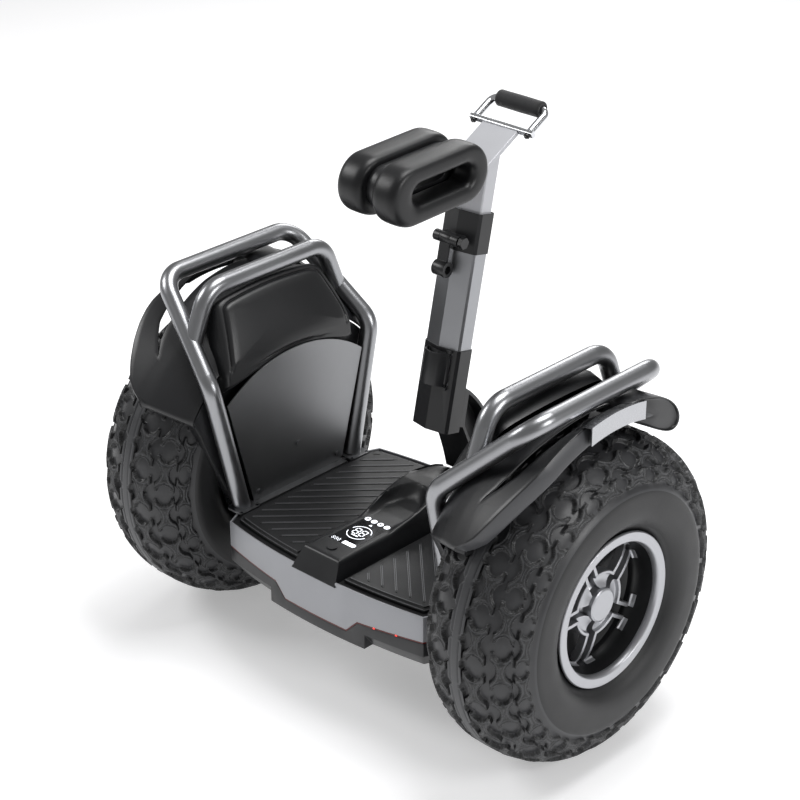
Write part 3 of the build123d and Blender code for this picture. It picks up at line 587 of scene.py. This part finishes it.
# ---------------------------------------------------------------- fenders
SKIN_X = [232.4, 244.0, 256.0, 272.0, 290.0, 316.0, 341.0, 362.0, 384.0]
SKIN_R = [223.0, 235.5, 243.6, 253.6, 261.6, 269.4, 275.6, 280.9, 285.4]
REAR_END, FRONT_END = -56.7, 47.0   # the fender's ends, degrees from the top
WALL_X = (232.4, 235.0)             # inner wall
LIP = 9.0                           # width of the band outside the crease
INNER_COLS, OUTER_COLS = 14, 7      # columns of the skin either side of the slot
# The slot in plan: y, inner edge, outer edge.
SLOT_PLAN = [(-175, 312, 312), (-157, 323, 330), (-138, 329, 344), (-116, 333.5, 351),
             (-85, 339, 358), (-52, 344, 364), (-10, 347, 367), (30, 350, 368),
             (75, 352, 365), (112, 356, 356)]


def skin_radius(x):
    """Radius of the fender's skin at a distance from the middle of the scooter."""
    return np.interp(x, SKIN_X, SKIN_R)


def fender_edge(angle):
    """How far out the fender reaches at an angle from the top, rear negative."""
    angles = [REAR_END, -54.5, -52.1, -46.5, -40.6, -35.0, -30.6, -27.0, 28.0, 30.0, 33.0,
              37.0, 41.0, FRONT_END]
    edges = [314.5, 330.0, 341.0, 355.0, 367.0, 376.5, 382.0, 384.5, 384.5, 376.0, 342.0,
             310.0, 284.0, 262.0]
    return np.interp(angle, angles, edges)


def fender_point(x, radius, angle, side):
    """Point at an angle in degrees from the top of the fender's arc."""
    t = radians(angle)
    return (side * x, FEN_Y + radius * sin(t), FEN_Z + radius * cos(t))


def fender(side, name):
    """Skin parted by the slot, with a deep outer lip and a rolled rear edge."""
    angles = np.r_[np.linspace(REAR_END, -27, 34), np.linspace(-25.5, 34.0, 44),
                   np.linspace(36.0, FRONT_END, 8)]
    slot_y, slot_in, slot_out = np.array(SLOT_PLAN, float).T
    rows = []
    open_rows = []
    for a in angles:
        edge = float(fender_edge(a))
        y = FEN_Y + 270 * sin(radians(a))
        has_slot = slot_y[0] < y < slot_y[-1]
        s_in = float(np.interp(y, slot_y, slot_in))
        s_out = float(np.interp(y, slot_y, slot_out))
        if not has_slot:
            s_in = s_out = min(s_in, edge - 12)
        crease = edge - LIP
        xs = np.r_[np.linspace(233.5, s_in, INNER_COLS),
                   np.linspace(s_out, max(crease, s_out + 1.0), OUTER_COLS)]
        section = list(zip(xs, skin_radius(xs)))
        top = float(skin_radius(edge))
        drop = 23.5 - 17.0 * float(step(a, 22, 32)) - 6.0 * float(step(-a, 50, 57))
        section[-1] = (crease, float(skin_radius(crease)))
        section += [(crease + 0.8, section[-1][1] - 0.2), (crease + 1.6, section[-1][1] - 1.4),
                    (edge + 0.8, top - drop + 3), (edge + 0.4, top - drop)]
        if -12.5 < a < 14.5:    # sunk where the bright trim lies on it
            section = [(x - 1.8, r - 1.8) if x > crease - LIP else (x, r)
                       for x, r in section]
        rows.append([fender_point(x, r, a, side) for x, r in section])
        open_rows.append(has_slot)
    cols = len(rows[0])

    def in_slot(i, j):
        return j == INNER_COLS - 1 and (open_rows[i] or open_rows[i + 1])

    faces = grid_faces(len(rows), cols, skip=in_slot)
    verts = flat(rows)
    base = len(verts)
    roll = []
    for drop, back in ((1.6, 2.4), (4.5, 4.0), (11.0, 5.0)):
        ring = []
        for j, (x, y, z) in enumerate(rows[0]):
            fade = 1.0 if j < cols - 4 else 0.35
            radial = Vector((0, y - FEN_Y, z - FEN_Z)).normalized()
            along = Vector((0, -radial.z, radial.y))
            ring.append(tuple(Vector((x, y, z)) - radial * drop * fade + along * back))
        roll.append(ring)
    verts += flat(roll)
    for level in range(len(roll)):
        for j in range(cols - 1):
            above = base + (level - 1) * cols + j if level else j
            below = base + level * cols + j
            faces.append((above, above + 1, below + 1, below))
    obj = make(f"fender_shell_{name}", verts, faces, "shell", "chassis",
               (f"fender_{name}",), sharp=40)
    # The lip's faces take the lighter copy of the plastic: a painted highlight.
    obj.data.materials.append(M["lip"])
    highlight_from = cols - 3
    painted_light_tone = [int(all(i < base and i % cols >= highlight_from for i in face.vertices))
            for face in obj.data.polygons]
    obj.data.polygons.foreach_set("material_index", painted_light_tone)
    thick = obj.modifiers.new("thick", "SOLIDIFY")
    thick.thickness = 2.6 * MM
    thick.offset = -1.0 * side
    thick.use_even_offset = True
    add_bevel(obj, 0.7, 2, 50, harden=False)
    # Inner wall, and the flange that turns back along its rear edge.
    back_edge = [(-106.0, 212.0), (-121.0, 238.0), (-136.0, 268.0), (-151.0, 303.0),
                 (-166.0, 341.0), (-182.0, 371.5)]
    wall = list(reversed(back_edge)) + [(122.0, 212.0), (169.0, 397.0)]
    for n in range(20):
        t = radians(FRONT_END - (FRONT_END - REAR_END) * n / 20)
        wall.append((FEN_Y + 222.6 * sin(t), FEN_Z + 222.6 * cos(t)))
    wall_piece = prism(wall, side * WALL_X[0], side * WALL_X[1])
    front, back = [], []
    for y, z in back_edge:
        front.append([(side * x, y - d, z + 0.25 * d) for x, d in
                      ((232.4, 0.0), (233.2, 2.6), (236.0, 4.2), (248.0, 5.0))])
        back.append([(side * x, y - d, z + 0.25 * d) for x, d in
                     ((235.0, -0.2), (235.4, 1.0), (237.0, 1.8), (248.0, 2.4))])
    v, f = join([wall_piece, thick_patch(front, back)])
    make(f"fender_wall_{name}", v, f, "shell", "chassis", sharp=40)


# Outline of the flared front end, as (y, z).
TIP = [(34, 534.0), (58, 533.0), (76, 531.0), (94, 525.0), (110, 518.5), (124, 509.0),
       (135, 497.5), (142.5, 485.0), (144.0, 474.5), (140.5, 466.0), (132.0, 462.0),
       (120.0, 463.5), (106.0, 469.5), (92.0, 477.0), (76.0, 486.5), (58.0, 497.0),
       (34.0, 508.0)]


def fender_tip(side, name):
    """Flared front end: a rounded band round a recessed side face."""
    outline = np.array(TIP)
    centre = outline.mean(0)
    stations = [(330.0, 1.0, -5.0), (372.0, 1.0, -1.0), (386.0, 1.0, 0.0), (389.0, 0.985, 0.0),
                (390.0, 0.96, 0.0), (389.6, 0.915, 0.0), (388.4, 0.90, 0.0),
                (386.5, 0.885, 0.0), (386.0, 0.84, 0.0), (386.6, 0.5, 0.0)]
    rows = []
    for x, scale, lift in stations:
        ring = centre + (outline - centre) * scale
        rows.append([(side * (x - 6.5 * (1 - float(step(y, 62, 74)))), y, z + lift)
                     for y, z in ring])
    rows.append([(side * 386.8, *centre)] * len(outline))
    faces = grid_faces(len(rows), len(outline), wrap_cols=True)
    obj = make(f"fender_tip_{name}", flat(rows), faces, "shell", "chassis",
               sharp=50)
    add_weld(obj, 0.02)
    add_subdivision(obj, 1)


# ---------------------------------------------------------------- side boxes
def box_outline(count=12):
    """Corners of the pillow face in (y share, height share), rounded at the bottom."""
    corners = [(-0.83, 1.0, 0.10), (0.80, 1.0, 0.14), (1.0, 0.30, 0.2), (0.98, 0.0, 0.13),
               (-1.0, 0.0, 0.13), (-1.03, 0.2, 0.1)]
    points = []
    for k, (u, v, cut) in enumerate(corners):
        before, after = corners[k - 1], corners[(k + 1) % len(corners)]
        here = np.array((u, v))
        a = here + (np.array(before[:2]) - here) * cut
        b = here + (np.array(after[:2]) - here) * cut
        for n in range(6):
            t = n / 5
            points.append((1 - t) ** 2 * a + 2 * t * (1 - t) * here + t * t * b)
        gap = np.array(after[:2]) + (here - np.array(after[:2])) * after[2]
        points += [b + (gap - b) * n / count for n in range(1, count)]
    return points


def side_box(side, name):
    """Sloping moulded cover above the side panel: a pillow face in a bevelled frame."""
    def surface(u, v, lift):
        y = 1.0 + u * 116.0
        low, high = 438.0 - 13.0 * u * u, 527.0 - 9.0 * u * u
        z = low + (high - low) * v
        bow = 4.0 * sin(pi * min(max(v, 0.0), 1.0))
        x = 215.5 + (z - 437.5) * 0.50
        return np.array((x - 0.5 * bow - 0.88 * lift, y, z + 0.5 * bow + 0.47 * lift))

    outline = box_outline()
    centre = np.array((0.0, 0.5))
    rings = [(1.12, -30.0), (1.10, -9.0), (1.075, -3.5), (1.055, -1.6), (1.02, -0.4),
             (1.008, -1.8), (0.995, -1.8), (0.985, 0.5), (0.965, 2.6), (0.94, 3.6),
             (0.84, 4.6), (0.6, 5.6), (0.3, 6.0)]
    rows = []
    for scale, lift in rings:
        ring = []
        for p in outline:
            q = centre + (p - centre) * (scale, 1 + (scale - 1) * (1.9 if scale > 0.93 else 1))
            point = surface(q[0], q[1], lift)
            ring.append((side * max(point[0], 214.5), point[1], point[2]))
        rows.append(ring)
    middle = surface(0, 0.5, 6.0)
    rows.append([(side * middle[0], middle[1], middle[2])] * len(outline))
    faces = grid_faces(len(rows), len(outline), wrap_cols=True)
    obj = make(f"box_cover_{name}", flat(rows), faces, "gloss", "chassis",
               ("side_boxes",) if side > 0 else (), sharp=60)
    add_weld(obj, 0.02)


# ---------------------------------------------------------------- console
CONSOLE_REAR = -174.6
CONSOLE_TOP = 236.5
# Height of the hump's ridge and of the scoop's floor over the flat top, along y.
RIDGE_Y = [-48, -20, 10, 35, 52, 75, 100, 120, 134.5]
RIDGE_RISE = [0, 8.0, 17.0, 24.0, 27.0, 28.3, 27.0, 23.0, 17.0]
SCOOP_Y = [-48, -10, 15, 32, 45, 52]
SCOOP_RISE = [0, 0.4, 2.0, 6.0, 13.0, 20]


def console():
    """Lofted housing: flat display top, scooped dish and hump, wrapped over the rear edge."""
    ys = np.r_[CONSOLE_REAR, -173.4, np.linspace(-171.5, -158, 8), -156.6, -155.2, -153.8,
               -152, -149, np.linspace(-145, -50, 16), np.linspace(-46, 60, 60),
               np.linspace(63, 134.5, 24)]
    rows = []
    for y in ys:
        slope = 204.0 + (y - CONSOLE_REAR) * 1.72
        cap = min(slope, CONSOLE_TOP - 0.9 * (1 - float(step(y, -156.5, -151.0))))
        rear_cap = cap if y < -150 else inf
        ridge = CONSOLE_TOP + float(np.interp(y, RIDGE_Y, RIDGE_RISE))
        floor = CONSOLE_TOP + float(np.interp(y, SCOOP_Y, SCOOP_RISE))
        wide = 31.5 + 5.5 * float(step(y, -50, 10)) - 6 * float(step(y, 60, 134))
        base = 43.5 - 1.5 * float(step(y, -160, -100)) + 2.5 * float(step(y, -60, 10))
        if cap < 230.5:     # the rear face widens towards its foot
            wide += (base - wide - 4.6) * (230.5 - cap) / 26.6
        row = [(-base, 203.9), (-base + 0.6, min(206.0, cap)),
               (-wide - 4.6, min(cap, ridge - 6.0)),
               (-wide - 3.6, min(rear_cap, ridge - 2.8)),
               (-wide - 2.0, min(rear_cap, ridge - 0.8))]
        for x in wide * np.linspace(-1, 1, 41):
            dish = 1 - (x / (wide - 1.5)) ** 2 - (max(y, 0.0) / 51.0) ** 2
            z = ridge - 3.0 * float(step(y, 52, 90)) * (x / wide) ** 2
            if dish > 0 and y > SCOOP_Y[0]:
                z -= (ridge - floor) * (1 - (1 - min(dish / 0.55, 1.0)) ** 2)
            row.append((x, min(z, rear_cap)))
        row += [(-x, z) for x, z in reversed(row[:5])]
        rows.append([(x, y, z) for x, z in row])
    cols = len(rows[0])
    faces = grid_faces(len(rows), cols, wrap_cols=True)
    faces += [tuple(range(cols)), tuple((len(rows) - 1) * cols + k for k in range(cols))]
    make("console_housing", flat(rows), faces, "console", "chassis",
         ("console",), sharp=42)


# ---------------------------------------------------------------- mats
MAT_X = 120             # middle of a mat's ribbed field
RIB_PITCH = 27
HIGHLIGHT_SHIFT = 1.15      # the two painted highlight strips on a rib's crests, either side of its middle line
HIGHLIGHT_HALF = 0.42
BORDER_HALF = 0.35
BORDER_PIECES = 21
# Painted highlight strips round the raised borders: half length along y, first x, last x,
# height.
BORDERS = [(160.0, 54.0, 177.5, 216.0), (165.0, 49.0, 182.5, 213.0)]


def mat_rib_highlights(side, name):
    """Thin lighter strips along the crests of the mat's diagonal ribs and round its raised
    border: painted highlight where light catches the rib edges.
    """
    parts = []
    slant = (cos(pi / 4), -sin(pi / 4))
    across = (slant[1], -slant[0])
    for k in range(-9, 10):
        line = [(MAT_X + t * slant[0], MID_Y + RIB_PITCH * k + t * slant[1])
                for t in np.arange(-120, 120, 1.0)]
        inside = [(x, y) for x, y in line
                  if 63 < x < 177 and abs(y - MID_Y) < 148.5 - end_bow(x)]
        if len(inside) < 12:
            continue
        first, last = inside[0], inside[-1]
        for shift in (-HIGHLIGHT_SHIFT, HIGHLIGHT_SHIFT):
            corners = [(x + (shift + w) * across[0], y + (shift + w) * across[1])
                       for (x, y), w in ((first, -HIGHLIGHT_HALF), (last, -HIGHLIGHT_HALF),
                                         (last, HIGHLIGHT_HALF), (first, HIGHLIGHT_HALF))]
            parts.append(slab([(side * x, y) for x, y in corners], 216.6, 216.95))
    for half, low, high, z in BORDERS:
        for end in (-1, 1):
            for x0 in np.linspace(low, high, BORDER_PIECES + 1)[:-1]:
                x1 = x0 + (high - low) / BORDER_PIECES
                y0 = MID_Y + end * (half - 0.8 - end_bow(x0))
                y1 = MID_Y + end * (half - 0.8 - end_bow(x1))
                parts.append(slab([(side * x0, y0 - BORDER_HALF), (side * x1, y1 - BORDER_HALF),
                                   (side * x1, y1 + BORDER_HALF), (side * x0, y0 + BORDER_HALF)],
                                  z - 0.2, z + 0.12))
    v, f = join(parts)
    make(f"mat_painted_highlights_{name}", v, f, "rib_painted_highlight", f"mat_{name}")


# ---------------------------------------------------------------- knee pads
PAD = {"y": 31.5, "z": 751.5, "tilt": 1.5, "long": 197.0, "high": 86.0, "hole": 30.0,
       "shift": 6.0}
PAD_X = (9.2, 55.8)     # inner and outer faces
PAD_STEPS = 36          # points round the stuffed ring's section


def stadium(radius, half_run, steps=28, runs=12):
    """Closed outline of (y, z) round a slot shape: two half circles and two straights."""
    points = []
    for end in (1, -1):
        for k in range(steps + 1):
            t = -end * pi / 2 + pi * k / steps
            points.append((end * half_run + radius * cos(t), radius * sin(t)))
        for n in range(1, runs):
            points.append((end * (half_run - 2 * half_run * n / runs), end * radius))
    return points


def knee_pad(side, name):
    """Stuffed oblong ring: crowned all round, wider behind the hole than before it."""
    x0, x1 = PAD_X
    out_r, in_r = PAD["high"] / 2, PAD["hole"] / 2
    run = PAD["long"] / 2 - out_r
    outer = stadium(out_r, run)
    inner = stadium(in_r, run - 12.5)
    mid_x, half_x = (x0 + x1) / 2, (x1 - x0) / 2
    tilt = radians(PAD["tilt"])
    rows = []
    for out_edge, (in_y, in_z) in zip(outer, inner):
        out_edge, in_edge = np.array(out_edge), np.array((in_y + PAD["shift"], in_z))
        middle, reach = (out_edge + in_edge) / 2, (out_edge - in_edge) / 2
        row = []
        for k in range(PAD_STEPS):
            c, s = cos(2 * pi * k / PAD_STEPS), sin(2 * pi * k / PAD_STEPS)
            y, z = middle + reach * np.sign(c) * abs(c) ** (0.52 if c > 0 else 0.74)
            x = mid_x + half_x * np.sign(s) * abs(s) ** 0.56
            row.append((side * x, PAD["y"] + y * cos(tilt) - z * sin(tilt),
                        PAD["z"] + y * sin(tilt) + z * cos(tilt)))
        rows.append(row)
    obj = make(f"knee_pad_cover_{name}", flat(rows),
               grid_faces(len(rows), PAD_STEPS, True, True), "pad", "upper",
               (f"knee_pad_{name}",), sharp=180, subdivide=1)


def grip():
    """Foam sleeve, slightly fuller in the middle, on the D handle's cross bar."""
    arm_y, arm_z, along, below = 147.0, 742.4, 123.5, 2.5
    y = arm_y + along * cos(ARM) + below * sin(ARM)
    z = arm_z + along * sin(ARM) - below * cos(ARM)
    profile = [(-39.0, 5.9), (-39.5, 6.4), (-39.5, 10.6), (-39.0, 11.8), (-37.8, 12.3)]
    profile += [(x, 12.3 + 0.12 * cos(x / 36.0 * pi)) for x in range(-34, 35, 4)]
    profile += [(-x, r) for x, r in reversed(profile[:5])]
    v, f = turned(profile, 0, 1, y, z, steps=64)
    obj = make("grip_sleeve", v, f, "foam", "upper", ("grip",), sharp=180)


# ---------------------------------------------------------------- display
ICON_Z = (236.55, 236.85)


def flat_ring(cx, cy, r_out, r_in, start=0.0, end=360.0, steps=40):
    """Ring or arc of a ring on the display, between two angles in degrees."""
    z0, z1 = ICON_Z
    verts, faces = [], []
    full = end - start >= 360
    count = steps if full else steps + 1
    for k in range(count):
        t = radians(start + (end - start) * k / steps)
        for r, z in ((r_out, z0), (r_out, z1), (r_in, z1), (r_in, z0)):
            verts.append((cx + r * cos(t), cy + r * sin(t), z))
    faces = grid_faces(count, 4, full, True)
    if not full:
        faces += [(0, 1, 2, 3), tuple(4 * (count - 1) + k for k in (3, 2, 1, 0))]
    return verts, faces


def digit_eight(cx, cy, w, h, bar):
    """Seven bars of a segment display, all lit."""
    parts = []
    for y in (-h / 2, 0, h / 2):
        parts.append(bar_slab(cx - w / 2 + 1, cx + w / 2 - 1,
                              cy + y - bar / 2, cy + y + bar / 2, *ICON_Z))
    for x in (-w / 2, w / 2):
        for y in (-h / 4, h / 4):
            parts.append(bar_slab(cx + x - bar / 2, cx + x + bar / 2,
                                  cy + y - h / 4 + 1, cy + y + h / 4 - 1, *ICON_Z))
    return parts


def display():
    """Generic lit icons: four rings, an arrow, a speed dial, a battery and small digits."""
    parts = []
    for k in range(4):
        parts.append(flat_ring(-19.0 + 12.6 * k, -42.0, 4.7, 2.1 - 0.6 * (k % 2), steps=28))
    parts.append(flat_ring(-2.0, -54.0, 3.0, 1.7, 90, 450, 3))
    for start, end in ((20, 165), (195, 340)):
        parts.append(flat_ring(0, -80.0, 18.6, 17.5, start, end, 34))
    for x in (-6.2, 6.2):
        parts += digit_eight(x, -78.0, 8.4, 15.0, 1.25)
    parts.append(bar_slab(-6, 6, -90.5, -88.6, *ICON_Z))
    for k in range(5):
        x = 0.6 + 4.4 * k
        parts.append(bar_slab(x, x + 3.9, -117.0, -109.0, *ICON_Z))
    parts.append(bar_slab(22.4, 23.6, -115.0, -111.0, *ICON_Z))
    for k in range(3):
        parts += digit_eight(-19.5 + 5.6 * k, -113.0, 3.4, 6.4, 0.9)
    v, f = join(parts)
    make("display_icons", v, f, "glow", "chassis")


def led_dots():
    """Two bright dots in the rear light strip, which rises outwards over the bumper."""
    parts = []
    for x in (112, 150):
        z = 161.4 + (x - 81.8) * 0.0688
        y = MID_Y - 178.5 + end_bow(x) + 0.9
        parts.append(prism([(y - 1.4, z - 0.8), (y + 1.0, z - 0.8), (y + 1.0, z + 0.8),
                            (y - 1.4, z + 0.8)], x - 1.5, x + 1.5))
    v, f = join(parts)
    make("led_dots", v, f, "led_hot", "chassis")


# ---------------------------------------------------------------- stage, light, camera
def stage():
    """Pale floor, soft studio lamps and the camera at the photograph's angle."""
    bpy.ops.mesh.primitive_plane_add(size=30, location=(0, 0, 0))
    floor = bpy.context.object
    floor.name = "floor"
    floor.data.materials.append(M["floor"])
    world = bpy.data.worlds.new("studio")
    bpy.context.scene.world = world
    world.use_nodes = True
    background = world.node_tree.nodes["Background"]
    background.inputs[0].default_value = (1, 1, 1, 1)
    background.inputs[1].default_value = WORLD_LIGHT
    for name, place, size, power in LAMPS:
        data = bpy.data.lights.new(name, "AREA")
        data.size = size
        data.energy = power
        lamp = bpy.data.objects.new(name, data)
        lamp.location = place
        lamp.rotation_euler = (Vector((0, 0, 0.35)) - Vector(place)).to_track_quat(
            "-Z", "Y").to_euler()
        bpy.context.scene.collection.objects.link(lamp)
    bpy.context.scene.view_settings.view_transform = "Standard"
    data = bpy.data.cameras.new("camera")
    data.lens = CAMERA_LENS
    data.sensor_width = 36.0
    data.clip_end = 100.0
    camera = bpy.data.objects.new("camera", data)
    camera.location = CAMERA
    back = Vector((sin(CAMERA_AZ) * cos(CAMERA_EL), -cos(CAMERA_AZ) * cos(CAMERA_EL),
                   sin(CAMERA_EL)))
    camera.rotation_euler = (-back).to_track_quat("-Z", "Y").to_euler()
    bpy.context.scene.collection.objects.link(camera)
    bpy.context.scene.camera = camera


# ---------------------------------------------------------------- build
stage()
dress_cad()
for side, name, start in ((1, "right", 9.0), (-1, "left", 3.0)):
    tyre(side, name, start)
    rim(side, name)
    fender(side, name)
    fender_tip(side, name)
    side_box(side, name)
    mat_rib_highlights(side, name)
    knee_pad(side, name)
grip()
console()
display()
led_dots()
